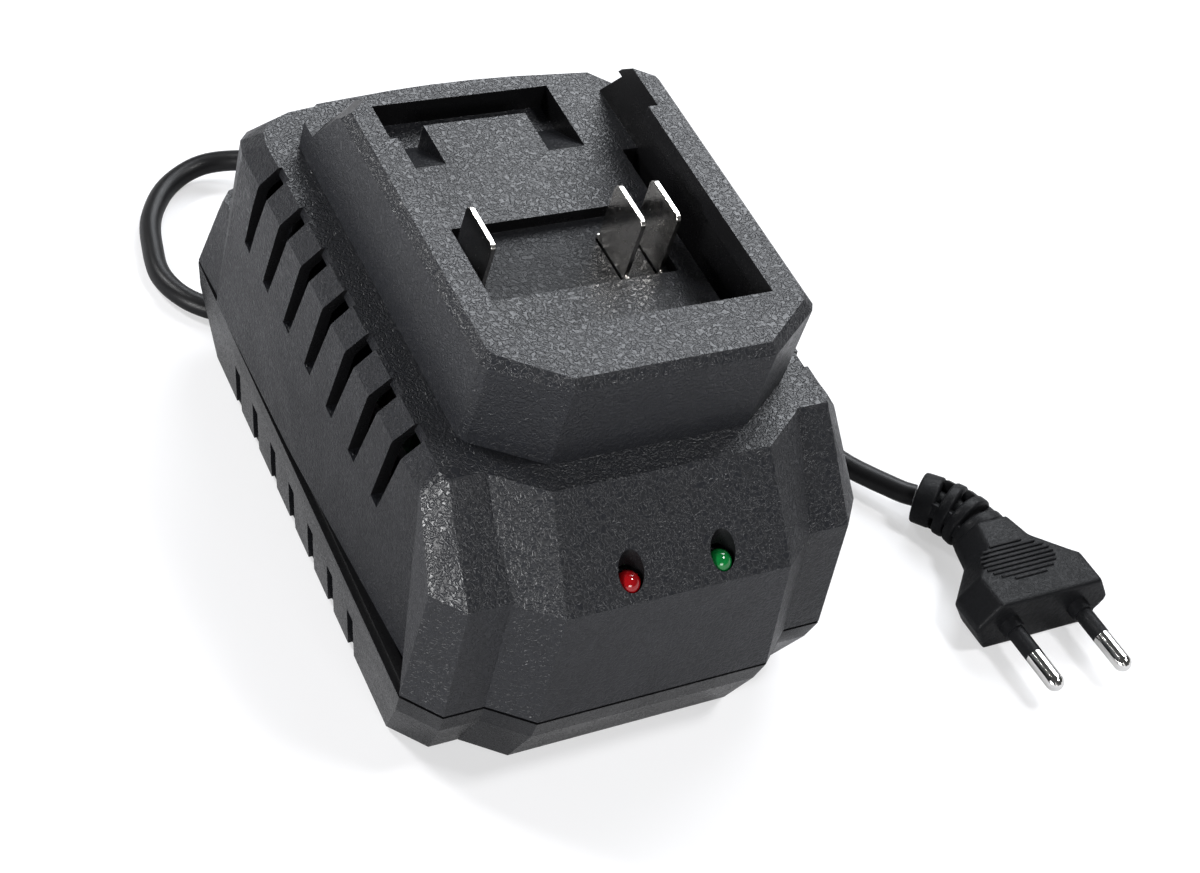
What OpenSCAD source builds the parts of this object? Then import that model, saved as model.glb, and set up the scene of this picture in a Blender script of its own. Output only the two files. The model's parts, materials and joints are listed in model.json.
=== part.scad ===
// Slide-in battery charger for a cordless tool.
// Millimetres. The charger stands on Z = 0 with its status lights towards -Y and
// its cord at the back, +Y. X = 0 is its plane of symmetry. The deck under the
// battery dock leans down towards the front, and the dock is modelled square to it.

/* [Case] */
// Length of the case at the joint, front panel to back
case_l = 146; // [140:1:160]
// Width of the case across its front cheeks, at the joint
cheek_w = 95.6; // [93:0.2:104]
// Width of the case across its back end, at the joint
back_w = 80.8; // [78:0.2:86]
// Width across the side walls, below the deck's chamfer
body_w = 88; // [86:0.5:91]
// Width of the sloping deck
deck_w = 83; // [80:0.5:85.5]
// Height of the deck at the middle of the case
deck_z = 67.6; // [64:0.2:76]
// Slope of the deck and the dock, in degrees
tilt = 5; // [3:0.5:7]
// Height of the joint between base and cover
joint_z = 19; // [16:0.5:21]
// Height of the fold between the upper and lower front panels
fold_z = 45.6; // [42:0.2:48]
// Height of the ridge round the base
ridge_z = 13.1; // [10:0.1:14]
// Wall of both mouldings
wall = 2.4; // [1.8:0.1:2.8]
// Drop of the chamfer along the deck's sides
deck_chamfer = 6; // [3:0.5:7]

/* [Front panel] */
// Width of the panel at the deck
panel_top_w = 46.8; // [44:0.2:50]
// Width of the panel at the fold
panel_fold_w = 48.4; // [46:0.2:52]
// Width of the panel at the joint
panel_joint_w = 51; // [48:0.2:54]
// Width between the outer ends of the panel's two chamfers
step_w = 66.6; // [64:0.2:70]
// How far the panel stands in front of the corners
panel_step = 6.6; // [4:0.2:8]
// How far the upper panel leans back from the fold
panel_lean = 15.2; // [12:0.2:18]
// Distance between the two status lights
led_pitch = 19.8; // [16:0.2:24]
// Bore that each status light stands in
led_bore_d = 5.4; // [5.3:0.1:6]

/* [Vents] */
// Number of vents on each side
vent_count = 7; // [5:1:7]
// Distance between two vents
vent_pitch = 11.5; // [10:0.1:12]
// Width of a vent along the case
vent_w = 4.1; // [3:0.1:5]
// Height of a vent's straight lower run
vent_drop = 16.5; // [12:0.5:20]

/* [Base] */
// Number of grip notches on each side
notch_count = 7; // [5:1:7]
// Distance between two notches
notch_pitch = 12; // [10:0.1:13]
// Width of a notch
notch_w = 3.4; // [2.4:0.1:4.4]
// Depth of a notch
notch_depth = 1.6; // [1:0.1:2]
// Diameter of a rubber foot
foot_d = 9; // [7:0.5:11]
// How far a rubber foot stands below the base
foot_proud = 0.8; // [0.5:0.1:1.5]

/* [Battery dock] */
// Width of the dock across its walls
dock_w = 70.4; // [69:0.2:74]
// Height of the dock's rim over the deck
dock_h = 21; // [19:0.2:24]
// Width of the bevel round the rim
rim_bevel = 1.8; // [1:0.1:2.4]
// Length of the dock, front face to the back of its foot
dock_l = 89.2; // [87:0.2:91]
// Gap between the two lips that hold the battery's rails
lip_gap = 54.8; // [53:0.2:57]
// Overhang of each lip over its rail groove
lip_overhang = 3.5; // [2.5:0.1:4]
// Thickness of the lips
lip_t = 4.4; // [3:0.1:5.5]
// Width of the rim in front of the battery
rim_front = 13.7; // [11:0.1:16]
// Height of the dock's floor over the deck
floor_h = 6.5; // [5.5:0.1:8]
// Depth of the pocket that the battery's latch drops into
pocket_depth = 5.8; // [4:0.1:6.5]
// Width of the latch pocket
pocket_w = 39.6; // [36:0.2:42]
// Width of the block between the pocket's two ramps
island_w = 23; // [18:0.2:26]

/* [Terminals] */
// Width of the terminal well
well_w = 45; // [43:0.2:47]
// Length of the terminal well
well_l = 19.7; // [18:0.1:22]
// Depth of the terminal well under the dock's floor
well_depth = 2.8; // [2:0.1:3.4]
// Length of a terminal blade along the dock
blade_l = 11.6; // [10:0.1:13]
// Thickness of a terminal blade
blade_t = 1; // [0.8:0.1:1.2]
// Height of a terminal blade over the deck
blade_top = 19; // [17:0.1:20]
// Distance of the negative blade from the middle
blade_neg_x = 19.7; // [17:0.1:20.5]
// Distance of the signal blade from the middle
blade_sig_x = 12.4; // [9:0.1:14]
// Distance of the positive blade from the middle
blade_pos_x = 20.3; // [18:0.1:20.5]

/* [Plug and cord] */
// Diameter of the cord
cord_d = 5; // [4.6:0.1:5.2]
// Diameter of a plug pin
pin_d = 4; // [4:0.01:4.06]
// Length of a plug pin outside the plug
pin_l = 19; // [18.5:0.1:19.5]
// Distance between the pins where they leave the plug
pin_pitch = 18.6; // [18:0.1:19.2]
// Width of the plug's body
plug_w = 35.3; // [34.8:0.1:36]
// Thickness of the plug's body
plug_t = 13.7; // [13.2:0.1:14]

/* [Hidden] */

eps = 0.01;
seat = 0.3;                       // clearance between pieces that drop into each other
front_y = -case_l / 2;
back_y = case_l / 2;
black = [0.13, 0.13, 0.15];
black_smooth = [0.17, 0.17, 0.19];
steel = [0.72, 0.72, 0.74];

// ---------- shared shapes ----------

// Closed outline from the points of its +X side, listed from front to back
function both_sides(p) = concat(p, [for (i = [len(p) - 1 : -1 : 0]) [-p[i][0], p[i][1]]]);

// Height of the deck's plane over the floor at a place y
function deck_at(y) = deck_z + y * tan(tilt);

// Puts a shape drawn on the deck, with z square to it, into its place
module on_deck() {
    translate([0, 0, deck_z]) rotate([tilt, 0, 0]) children();
}

// A thin slice of an outline, used as one level of a lofted moulding
module level(z, p) {
    translate([0, 0, z]) linear_extrude(eps) polygon(p);
}

// A row of places along Y that is centred on y0
function row(count, pitch, y0) = [for (i = [0 : count - 1]) y0 + (i - (count - 1) / 2) * pitch];

// ---------- case outlines ----------

corner_y = front_y + panel_step;  // front of the corners beside the panel
cheek_back_y = front_y + 14;      // where a cheek ends and the side wall starts
bulge_y = back_y - 17;            // back wall above the bulge at the back

// Outline at the deck, in the deck's own plane; t is the wall taken off
function deck_outline(t = 0) = both_sides([
    [40.7 - t, corner_y + 17.8 + t],
    [deck_w / 2 - t, corner_y + 19.7 + t],
    [deck_w / 2 - t, 41 - t],
    [deck_w / 2 - 0.8 - t, 44.4 - t],
    [deck_w / 2 - 3.2 - t, 47.4 - t],
    [deck_w / 2 - 8 - t, 49.3 - t],
    [20 - t, 51 - t], [6, 51.9 - t]
]);

// Outline where the deck's chamfer meets the side wall
function crease_outline(t = 0) = both_sides([
    [42.6 - t, corner_y + 14.5 + t],
    [body_w / 2 - t, corner_y + 20 + t],
    [body_w / 2 - t, 45.5 - t],
    [body_w / 2 - 1 - t, 49.2 - t],
    [body_w / 2 - 3.2 - t, 51.4 - t],
    [body_w / 2 - 8 - t, 52.6 - t]
]);

// Outline of the side walls just above the undercut over the base's ledge
function waist_outline(t = 0) = both_sides([
    [body_w / 2 + 0.4 - t, corner_y + 9 + t],
    [body_w / 2 + 0.4 - t, 0],
    [body_w / 2 - 1.4 - t, bulge_y - 4 - t],
    [body_w / 2 - 5 - t, bulge_y + 1 - t],
    [body_w / 2 - 12 - t, bulge_y + 2.4 - t]
]);

// Outline of the side walls at the joint
function joint_outline(t = 0) = both_sides([
    [body_w / 2 - 2 - t, corner_y + 9 + t],
    [body_w / 2 - 0.6 - t, 8],
    [body_w / 2 - 2.4 - t, bulge_y - 4 - t],
    [body_w / 2 - 5.4 - t, bulge_y + 3 - t]
]);

// Corners and cheeks on both sides of the panel: at the deck, the fold and the joint
function corner_at_deck(t = 0) = both_sides([
    [40.7 - t, corner_y + 18 + t], [deck_w / 2 + 0.2 - t, corner_y + 19.8 + t],
    [deck_w / 2 - t, corner_y + 23]
]);
function corner_at_chamfer(t = 0) = both_sides([
    [41 - t, corner_y + 13.6 + t], [body_w / 2 + 0.8 - t, corner_y + 19.6 + t],
    [body_w / 2 - 0.6 - t, corner_y + 22.6]
]);
function corner_at_fold(t = 0) = both_sides([
    [41.2 - t, corner_y + 1.4 + t], [cheek_w / 2 - 1.5 - t, corner_y + 7.5 + t],
    [body_w / 2 - t, corner_y + 11.5]
]);
function corner_at_joint(t = 0) = both_sides([
    [cheek_w / 2 - 5.8 - t, corner_y + t], [cheek_w / 2 - t, corner_y + 7.3 + t],
    [body_w / 2 - 2 - t, corner_y + 11]
]);

// The light panel between its two chamfers
function panel_level(w, y, grow, t = 0) = both_sides([
    [w / 2 - t * 0.6, y + t], [step_w / 2 + grow - t, y + panel_step + 0.3 + t],
    [step_w / 2 + grow - t, y + panel_step + 8]
]);

// The bulge at the back that takes the cord
function bulge_outline(y, t = 0) = both_sides([
    [back_w / 2 + 0.6 - t, 40], [back_w / 2 - t, y - 4.5 - t],
    [back_w / 2 - 2 - t, y - 1.6 - t], [back_w / 2 - 6 - t, y - t]
]);

// Outer ends of the base, at a given draw-in from the joint's outline
function base_outline(front_in, side_in, back_in, t = 0) = both_sides([
    [cheek_w / 2 - 5.8 - side_in - t, corner_y + front_in + t],
    [cheek_w / 2 - side_in - t, corner_y + 7.2 + front_in + t],
    [back_w / 2 - side_in * 0.5 - t, back_y - 4.5 - back_in - t],
    [back_w / 2 - 2 - side_in * 0.5 - t, back_y - 1.6 - back_in - t],
    [back_w / 2 - 6 - side_in * 0.5 - t, back_y - back_in - t]
]);

// Half width of the base's side at the ridge and at the bottom, at a place y
function side_at(y, side_in) = let (
        y0 = corner_y + 7.2, y1 = back_y - 4.5, k = (y - y0) / (y1 - y0)
    ) (cheek_w / 2 - side_in) * (1 - k) + (back_w / 2 - side_in * 0.5) * k;

// ---------- fixings ----------

case_screw_xy = [[31, -43], [31, 41]];
board_screw_xy = [[30, -29], [30, 27]];
board_z = 9;                      // underside of the main board
board_t = 1.6;

module four(places) {
    for (p = places, s = [-1, 1]) translate([s * p[0], p[1], 0]) children();
}

// A pan-head screw that points up, with its head's underside at z = 0
module screw(d, l, head_d, head_h) {
    translate([0, 0, -head_h]) cylinder(d = head_d, h = head_h, $fn = 32);
    translate([0, 0, -eps]) cylinder(d = d, h = l, $fn = 24);
}

// ---------- base ----------

base_floor = 2.6;
seam_gap = 0.6;                   // groove seen round the joint
seam_deep = 1.5;
foot_pocket = 1.2;
foot_xy = [[36, -50], [31, 53]];

module base_shell() {
    color(black) difference() {
        union() {
            hull() {
                level(joint_z - seam_gap, base_outline(0, 0, 0));
                level(ridge_z, base_outline(1.4, 0.8, 1.6));
                level(foot_proud, base_outline(7, 3.2, 12.4));
            }
            hull() {
                level(joint_z - seam_gap, panel_level(panel_joint_w, front_y, 0.6));
                level(ridge_z, panel_level(panel_joint_w - 1, front_y + 1.4, 0));
                level(foot_proud, panel_level(panel_joint_w - 1.4, front_y + 7, -0.4));
            }
            // Rim that the cover stands on, behind the joint's outer groove
            translate([0, 0, joint_z - 2.5]) linear_extrude(2.5) polygon(base_outline(0, 0, 0, seam_deep));
            translate([0, 0, joint_z - 2.5]) linear_extrude(2.5)
                polygon(panel_level(panel_joint_w, front_y, 0.6, seam_deep));
        }
        // Inside of the tray
        difference() {
            hull() {
                level(joint_z + 1, base_outline(0, 0, 0, wall + 1.2));
                level(foot_proud + base_floor, base_outline(6.4, 3, 10.8, wall + 1.2));
            }
            four(case_screw_xy) cylinder(d = 8, h = joint_z - 3, $fn = 48);
            four(board_screw_xy) cylinder(d = 6, h = board_z, $fn = 48);
        }
        // Panel's hollow
        translate([-panel_joint_w / 2 + 5, front_y + 7 + wall, foot_proud + base_floor + 6])
            cube([panel_joint_w - 10, 8, joint_z]);
        // Screw wells and bores
        four(case_screw_xy) {
            translate([0, 0, -1]) cylinder(d = 6.4, h = 7, $fn = 48);
            cylinder(d = 3.4, h = joint_z, $fn = 48);
        }
        four(board_screw_xy) translate([0, 0, board_z - 5.5]) cylinder(d = 2, h = 8, $fn = 24);
        // Seats for the rubber feet
        four(foot_xy) translate([0, 0, foot_proud - 1])
            cylinder(d = foot_d + seat, h = 1 + foot_pocket, $fn = 48);
        // Grip notches along both sides
        for (y = row(notch_count, notch_pitch, 4), s = [-1, 1])
            translate([s * (side_at(y, 3.2) - notch_depth + 6), y, ridge_z / 2 - 1])
                rotate([0, s * -9, 0]) cube([12, notch_w, ridge_z - 0.6], center = true);
        // Lower half of the cord gland's seat
        gland_seat();
    }
}

module rubber_feet() {
    color([0.08, 0.08, 0.08]) four(foot_xy) {
        translate([0, 0, foot_proud - eps]) cylinder(d = foot_d, h = foot_pocket, $fn = 48);
        cylinder(d = foot_d - 1.4, h = foot_proud, $fn = 48);
    }
}

module case_screws() {
    color(steel) four(case_screw_xy) translate([0, 0, 6]) screw(2.8, joint_z + 4, 5.6, 2.2);
}

// ---------- cover ----------

bulge_z = 43;                     // top of the bulge at the back
undercut_h = 2;                   // height of the side walls' undercut over the joint
cover_bore = 2.8;

module cover_body() {
    // Walls under the deck
    hull() {
        on_deck() level(-eps, deck_outline());
        on_deck() level(-deck_chamfer, crease_outline());
        level(joint_z + undercut_h, waist_outline());
        level(joint_z, joint_outline());
    }
    // Corners and cheeks
    hull() {
        on_deck() level(-eps, corner_at_deck());
        on_deck() level(-4, corner_at_chamfer());
        level(fold_z, corner_at_fold());
        level(joint_z, corner_at_joint());
    }
    // Light panel
    hull() {
        on_deck() level(-eps, panel_level(panel_top_w, front_y + 1.8 + panel_lean, 0));
        level(fold_z - 0.4, panel_level(panel_fold_w, front_y + 1.8, 0));
        level(joint_z, panel_level(panel_joint_w, front_y, 0.6));
    }
    // Bulge for the cord
    hull() {
        level(bulge_z, bulge_outline(back_y - 9.5));
        level(bulge_z - 5, bulge_outline(back_y - 7));
        level(joint_z, bulge_outline(back_y));
    }
}

module cover_hollow() {
    hull() {
        on_deck() level(-wall, deck_outline(wall));
        on_deck() level(-deck_chamfer - wall, crease_outline(wall));
        level(joint_z - 1, joint_outline(wall));
    }
    hull() {
        on_deck() level(-wall, panel_level(panel_top_w, front_y + 1.8 + panel_lean, 0, wall));
        level(fold_z - 1.2, panel_level(panel_fold_w, front_y + 1.8, 0, wall));
        level(joint_z - 1, panel_level(panel_joint_w, front_y, 0.6, wall));
    }
    hull() {
        level(bulge_z - wall, bulge_outline(back_y - 9.5, wall + 0.6));
        level(joint_z - 1, bulge_outline(back_y, wall));
    }
}

// One vent, seen from the side in the deck's frame: a short run down the chamfer,
// a longer one down the wall and a pointed end. Its front edge starts at height top.
module vent_shape(top) {
    lean = 2.4 * (1 - top) / (deck_chamfer + 2);
    polygon([
        [-vent_w + lean, top], [lean, top], [2.4, -deck_chamfer - 1],
        [4.2, -deck_chamfer - vent_drop - 1], [1.1, -deck_chamfer - vent_drop - 1.2],
        [0.4, -deck_chamfer - vent_drop + 2.6], [2.2 - vent_w, -deck_chamfer - 1]
    ]);
}

// Each vent goes through the wall below the deck's plate, and only through the
// chamfer beside it
module vents() {
    on_deck() for (y = row(vent_count, vent_pitch, -0.8), s = [-1, 1]) translate([0, y, 0]) {
        translate([s * (deck_w / 2 + 3), 0, 0]) rotate([90, 0, 90])
            linear_extrude(7.6, center = true) vent_shape(0.6);
        translate([s * (deck_w / 2 - 1), 0, 0]) rotate([90, 0, 90])
            linear_extrude(12, center = true) vent_shape(-wall - 0.4);
    }
}

led_y = front_y + 5.8;            // the lights stand on this line, upright
led_top = fold_z + 1.9;
led_d = 4.8;

module led_places() {
    for (s = [-1, 1]) translate([s * led_pitch / 2, led_y, 0]) children();
}

module top_cover() {
    color(black) difference() {
        union() {
            difference() {
                cover_body();
                cover_hollow();
            }
            // Screw columns
            for (p = case_screw_xy, s = [-1, 1])
                translate([s * p[0], p[1], joint_z - 2])
                    cylinder(d = 7, h = deck_at(p[1]) - 1.4 - joint_z + 2, $fn = 48);
            // Tubes round the status lights
            led_places() difference() {
                translate([0, 0, fold_z - 7.7]) cylinder(d = led_bore_d + 2.4, h = 9.4, $fn = 48);
                translate([-5, -led_bore_d / 2 - 1.4, fold_z - 3.4]) rotate([48, 0, 0]) cube([10, 14, 14]);
            }
        }
        vents();
        led_places() translate([0, 0, fold_z - 9]) cylinder(d = led_bore_d, h = 25, $fn = 48);
        // Window under the dock
        on_deck() translate([0, 0, -wall - 3]) linear_extrude(wall + 4) polygon(dock_outline(4.6));
        for (p = case_screw_xy, s = [-1, 1])
            translate([s * p[0], p[1], joint_z - 3]) cylinder(d = cover_bore, h = 14, $fn = 32);
        on_deck() dock_screw_places() translate([0, 0, -wall - 3]) cylinder(d = 2.6, h = wall + 4, $fn = 24);
        gland_seat();
    }
}

// ---------- battery dock ----------

dock_front = -50;                 // front face of the dock, in the deck's frame
dock_back = dock_front + dock_l;
rim_back = dock_back - 14.6;
lip_front = dock_front + rim_front;
lip_back = rim_back - 8.1;
groove_x = lip_gap / 2 + lip_overhang;

// Plan of the dock's walls, t inside their faces
function dock_outline(t = 0) = both_sides([
    [21.2 - t * 0.3, dock_front + t],
    [dock_w / 2 - 3.3 - t * 0.8, dock_front + 8.4 + t * 0.6],
    [dock_w / 2 - 1 - t, dock_front + 8.8 + t * 0.8],
    [dock_w / 2 - t, dock_front + 10.4 + t * 0.8],
    [dock_w / 2 - t, dock_back - t]
]);

// Plan of the floor's block, which runs on behind the walls
function pad_outline() = both_sides([
    [dock_w / 2, dock_back - 20], [dock_w / 2, dock_back],
    [dock_w / 2 - 4.4, dock_back + 4.6], [14, dock_back + 6], [5, dock_back + 6.4]
]);

// Two slanted cuts that end a wall at the back: the outer corner ends first, and the
// upper cut leans forward more than the lower one
module wall_end_cut() {
    for (cut = [[0, 0, 28], [-8, 11.7, 41]])
        translate([dock_w / 2, dock_back - 4.6 + cut[0], floor_h + cut[1]]) rotate([0, 0, -38])
            rotate([cut[2], 0, 0]) translate([-20, 0, -40]) cube([40, 40, 80]);
}

module dock_screw_places() {
    for (y = [dock_front + 16, dock_back - 8], s = [-1, 1])
        translate([s * (dock_w / 2 - 2.4), y, 0]) children();
}

module battery_dock() {
    color(black) on_deck() difference() {
        union() {
            // Walls and front
            difference() {
                hull() {
                    linear_extrude(dock_h - rim_bevel) polygon(dock_outline());
                    linear_extrude(dock_h) polygon(dock_outline(rim_bevel));
                }
                for (s = [0, 1]) mirror([s, 0, 0]) wall_end_cut();
                // Channel between the lips, and the grooves under them
                translate([-lip_gap / 2, lip_front, floor_h]) cube([lip_gap, dock_l, dock_h]);
                translate([-groove_x, lip_front, floor_h])
                    cube([2 * groove_x, dock_l, dock_h - floor_h - lip_t]);
                // Lips cut back at the mouth
                translate([-lip_gap / 2 - 2.2, lip_back, floor_h]) cube([lip_gap + 4.4, dock_l, dock_h]);
                // Front is hollow from below
                translate([-18, dock_front + wall + 0.6, -1])
                    cube([36, rim_front - 2 * wall - 1.2, dock_h - 1.8]);
            }
            linear_extrude(floor_h) polygon(pad_outline());
            // Spigot that drops through the deck
            translate([0, 0, -wall]) linear_extrude(wall + eps) polygon(dock_outline(4.6 + seat));
        }
        // Cores under the lips, through the floor
        for (s = [-1, 1])
            translate([s * (groove_x - lip_overhang / 2 - 0.05), (lip_front + lip_back + 3.3) / 2, 0])
                cube([lip_overhang + 0.1, lip_back + 3.3 - lip_front, 2 * floor_h + 1], center = true);
        latch_pocket();
        // Terminal well
        translate([-well_w / 2, well_y, floor_h - well_depth]) cube([well_w, well_l, dock_h]);
        for (x = blade_places) translate([x - blade_slot / 2, blade_front - seat, -wall - 1])
            cube([blade_slot, blade_l + 2 * seat, dock_h]);
        dock_screw_places() translate([0, 0, -1]) cylinder(d = 1.8, h = 9, $fn = 24);
    }
}

pocket_back = dock_back + 2;
well_y = dock_front + 35.2;

// Pocket for the latch: a trench at the back and a ramp on each side of a block
module latch_pocket() {
    ramp_l = 11.6;
    trench_l = 7.2;
    rotate([90, 0, 90]) translate([0, 0, -pocket_w / 2]) difference() {
        linear_extrude(pocket_w) polygon([
            [pocket_back, floor_h + 1], [pocket_back, floor_h - pocket_depth],
            [pocket_back - trench_l, floor_h - pocket_depth],
            [pocket_back - trench_l - ramp_l, floor_h], [pocket_back - trench_l - ramp_l, floor_h + 1]
        ]);
        translate([pocket_back - trench_l - ramp_l - 1, 0, (pocket_w - island_w) / 2])
            cube([ramp_l + 1, floor_h + 2, island_w]);
    }
}

module dock_screws() {
    color(steel) on_deck() dock_screw_places() translate([0, 0, -wall]) screw(2, 8, 4, 1.6);
}

// ---------- terminals ----------

blade_front = well_y + 2.2;
well_floor = floor_h - well_depth;
blade_slot = blade_t + 2 * seat;
blade_places = [-blade_neg_x, blade_sig_x, blade_pos_x];
block_w = well_w + 3;
block_h = 7;                      // height of the block that holds the blades
block_grip = 5;                   // how far the blades' feet go into it

module terminal_block() {
    color(black_smooth) on_deck() difference() {
        translate([-block_w / 2, well_y, -wall - block_h]) cube([block_w, well_l - 2, block_h]);
        for (x = blade_places) translate([x - blade_t / 2, blade_front + 2, -wall - block_grip])
            cube([blade_t, blade_l - 4, block_grip + 1]);
    }
}

// A blade cut from sheet: its foot stands in the terminal block, and two shoulders
// rest on the well's floor
module blade(x) {
    foot = well_floor - 0.05;
    color(steel) on_deck() translate([x - blade_t / 2, blade_front, 0]) rotate([90, 0, 90])
        linear_extrude(blade_t) union() {
            translate([0, foot]) square([blade_l, blade_top - foot - 1.6]);
            translate([1.6, blade_top - 3]) square([blade_l - 3.2, 3]);
            translate([2, -wall - block_grip]) square([blade_l - 4, wall + block_grip + foot + 1]);
            for (x0 = [1.6, blade_l - 1.6]) translate([x0, blade_top - 1.6]) circle(r = 1.6, $fn = 32);
        }
}

module blade_negative() { blade(-blade_neg_x); }
module blade_signal() { blade(blade_sig_x); }
module blade_positive() { blade(blade_pos_x); }

// ---------- status lights ----------

module status_light(x) {
    translate([x, led_y, 0]) {
        translate([0, 0, led_top - led_d / 2]) difference() {
            sphere(d = led_d, $fn = 48);
            translate([-4, -4, -8]) cube([8, 8, 8]);
        }
        translate([0, 0, led_top - 8.6]) cylinder(d = led_d, h = 8.6 - led_d / 2 + eps, $fn = 48);
        for (s = [-1, 1]) translate([s * 1.27 - 0.25, -0.25, led_top - 12]) cube([0.5, 0.5, 3.5]);
    }
}

module red_light() { color([0.7, 0.05, 0.06]) status_light(-led_pitch / 2); }
module green_light() { color([0.05, 0.5, 0.12]) status_light(led_pitch / 2); }

module light_board() {
    color([0.1, 0.35, 0.16]) difference() {
        translate([-18, led_y - 1.7, led_top - 11.6]) cube([36, 12, board_t]);
        led_places() for (s = [-1, 1]) translate([s * 1.27, 0, led_top - 13])
            cylinder(d = 0.9, h = 4, $fn = 24);
    }
}

// ---------- electronics ----------

board_w = 68;
board_l = 96;
board_top = board_z + board_t;

module circuit_board() {
    color([0.1, 0.35, 0.16]) difference() {
        translate([-board_w / 2, -44, board_z]) cube([board_w, board_l - 4, board_t]);
        four(board_screw_xy) translate([0, 0, board_z - 1]) cylinder(d = 2.6, h = 4, $fn = 32);
        four(case_screw_xy) translate([0, 0, board_z - 1]) cylinder(d = 9, h = 4, $fn = 48);
    }
}

module board_screws() {
    color(steel) four(board_screw_xy) translate([0, 0, board_top]) rotate([180, 0, 0])
        screw(2, 6.4, 4.4, 1.8);
}

core = [25, 22, 6];

module transformer_core() {
    color([0.2, 0.2, 0.2]) translate([2, 4, board_top + 0.5]) difference() {
        translate([-core.x / 2, -core.y / 2, 0]) cube([core.x, core.y, 26]);
        translate([-core.x / 2 - 1, -core.y / 2 + 4, 4]) cube([core.x + 2, core.y - 8, 18]);
    }
}

module transformer_winding() {
    color([0.85, 0.7, 0.15]) translate([2, 4, board_top + 0.5 + 4 + seat])
        difference() {
            cylinder(d = core.y - 8 - 2 * seat, h = 18 - 2 * seat, $fn = 64);
            translate([0, 0, -1]) cylinder(d = 5, h = 20, $fn = 32);
        }
}

module input_capacitor() {
    color([0.1, 0.12, 0.2]) translate([-20, 28, board_top]) cylinder(d = 16, h = 28, $fn = 64);
}

module output_capacitors() {
    color([0.1, 0.12, 0.2]) for (y = [-24, -12])
        translate([22, y, board_top]) cylinder(d = 10, h = 20, $fn = 64);
}

module mains_choke() {
    color([0.75, 0.45, 0.2]) translate([9, 34, board_top]) difference() {
        cylinder(d = 18, h = 9, $fn = 64);
        translate([0, 0, -1]) cylinder(d = 7, h = 12, $fn = 48);
    }
}

module noise_capacitor() {
    color([0.8, 0.65, 0.1]) translate([-24, 38, board_top]) cube([18, 8, 15]);
}

module heat_sink() {
    color([0.6, 0.6, 0.63]) translate([-31, -20, board_top]) {
        cube([2, 30, 24]);
        for (i = [0 : 3]) translate([2 - eps, 3 + i * 7.2, 0]) cube([3, 2, 24]);
    }
}

module power_transistor() {
    color([0.12, 0.12, 0.12]) translate([-36, -10, board_top + 6]) cube([5, 10, 15]);
}

module mains_fuse() {
    color([0.85, 0.85, 0.8]) translate([-10, 22, board_top]) cylinder(d = 8.4, h = 8, $fn = 48);
}

// ---------- cord ----------

// A tube swept along points p, with the radius r[i] at each point; the rings
// stand square to the path and the two ends are flat
function unit(v) = v / norm(v);
function heading(p, i) = unit(p[min(i + 1, len(p) - 1)] - p[max(i - 1, 0)]);
function side_of(t) = unit(cross(t, [0, 0, 1]));
function ring(c, t, r, n, flat = 1) = let (u = side_of(t), w = cross(u, t))
    [for (k = [0 : n - 1]) let (a = 360 * (k + 0.5) / n) c + r * (cos(a) * u + flat * sin(a) * w)];

module tube(p, r, n) {
    last = len(p) - 1;
    pts = [for (i = [0 : last]) each ring(p[i], heading(p, i), is_list(r) ? r[i] : r, n)];
    polyhedron(pts, concat(
        [[for (k = [n - 1 : -1 : 0]) k]],
        [for (i = [0 : last - 1], k = [0 : n - 1]) let (m = (k + 1) % n)
            each [[i * n + k, (i + 1) * n + m, (i + 1) * n + k], [i * n + k, i * n + m, (i + 1) * n + m]]],
        [[for (k = [0 : n - 1]) last * n + k]]
    ), convexity = 6);
}

// Points on a smooth curve through hand-set points, count to each stretch
function smooth_at(a, b, c, d, u) = 0.5 * (
    2 * b + (c - a) * u + (2 * a - 5 * b + 4 * c - d) * u * u + (3 * b - a - 3 * c + d) * u * u * u);
function smooth(p, count) = concat([p[0]], [
    for (i = [1 : len(p) - 3], k = [0 : count - 1]) smooth_at(p[i - 1], p[i], p[i + 1], p[i + 2], k / count)
], [p[len(p) - 2], p[len(p) - 1]]);
function path_length(p) = len(p) < 2 ? 0 : [for (i = 0, s = 0; i < len(p); i = i + 1,
    s = s + (i < len(p) ? norm(p[i] - p[i - 1]) : 0)) s][len(p) - 1];

cord_r = cord_d / 2;
floor_gap = 0.05;
lie = cord_r + floor_gap;         // height of the cord's middle where it lies down

// Gland: a bush held in the joint, with a drooping taper outside
gland_d = 9;
gland_y = back_y - 12;
droop = [
    [0, back_y + 1, joint_z], [0, back_y + 2, joint_z], [0, back_y + 8, joint_z - 1],
    [0, back_y + 14, joint_z - 2.9], [0, back_y + 20, joint_z - 5.4], [0, back_y + 21, joint_z - 5.9]
];
droop_r = [4.6, 4.6, 4.3, 3.9, 3.5, 3.5];
gland_end = droop[5];
gland_dir = unit(droop[5] - droop[4]);

module gland_seat() {
    translate([0, back_y - 20, joint_z]) rotate([-90, 0, 0]) cylinder(d = gland_d + seat, h = 30, $fn = 48);
}

module cord_gland() {
    color([0.09, 0.09, 0.1]) {
        translate([0, gland_y, joint_z]) rotate([-90, 0, 0]) rotate_extrude($fn = 64) polygon([
            [0, 0], [6.2, 0], [6.2, 2.4], [gland_d / 2, 2.4], [gland_d / 2, 12.2],
            [5.6, 12.2], [5.6, 14.2], [4.6, 14.4], [0, 14.4]
        ]);
        tube(droop, droop_r, 16);
    }
}

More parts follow.
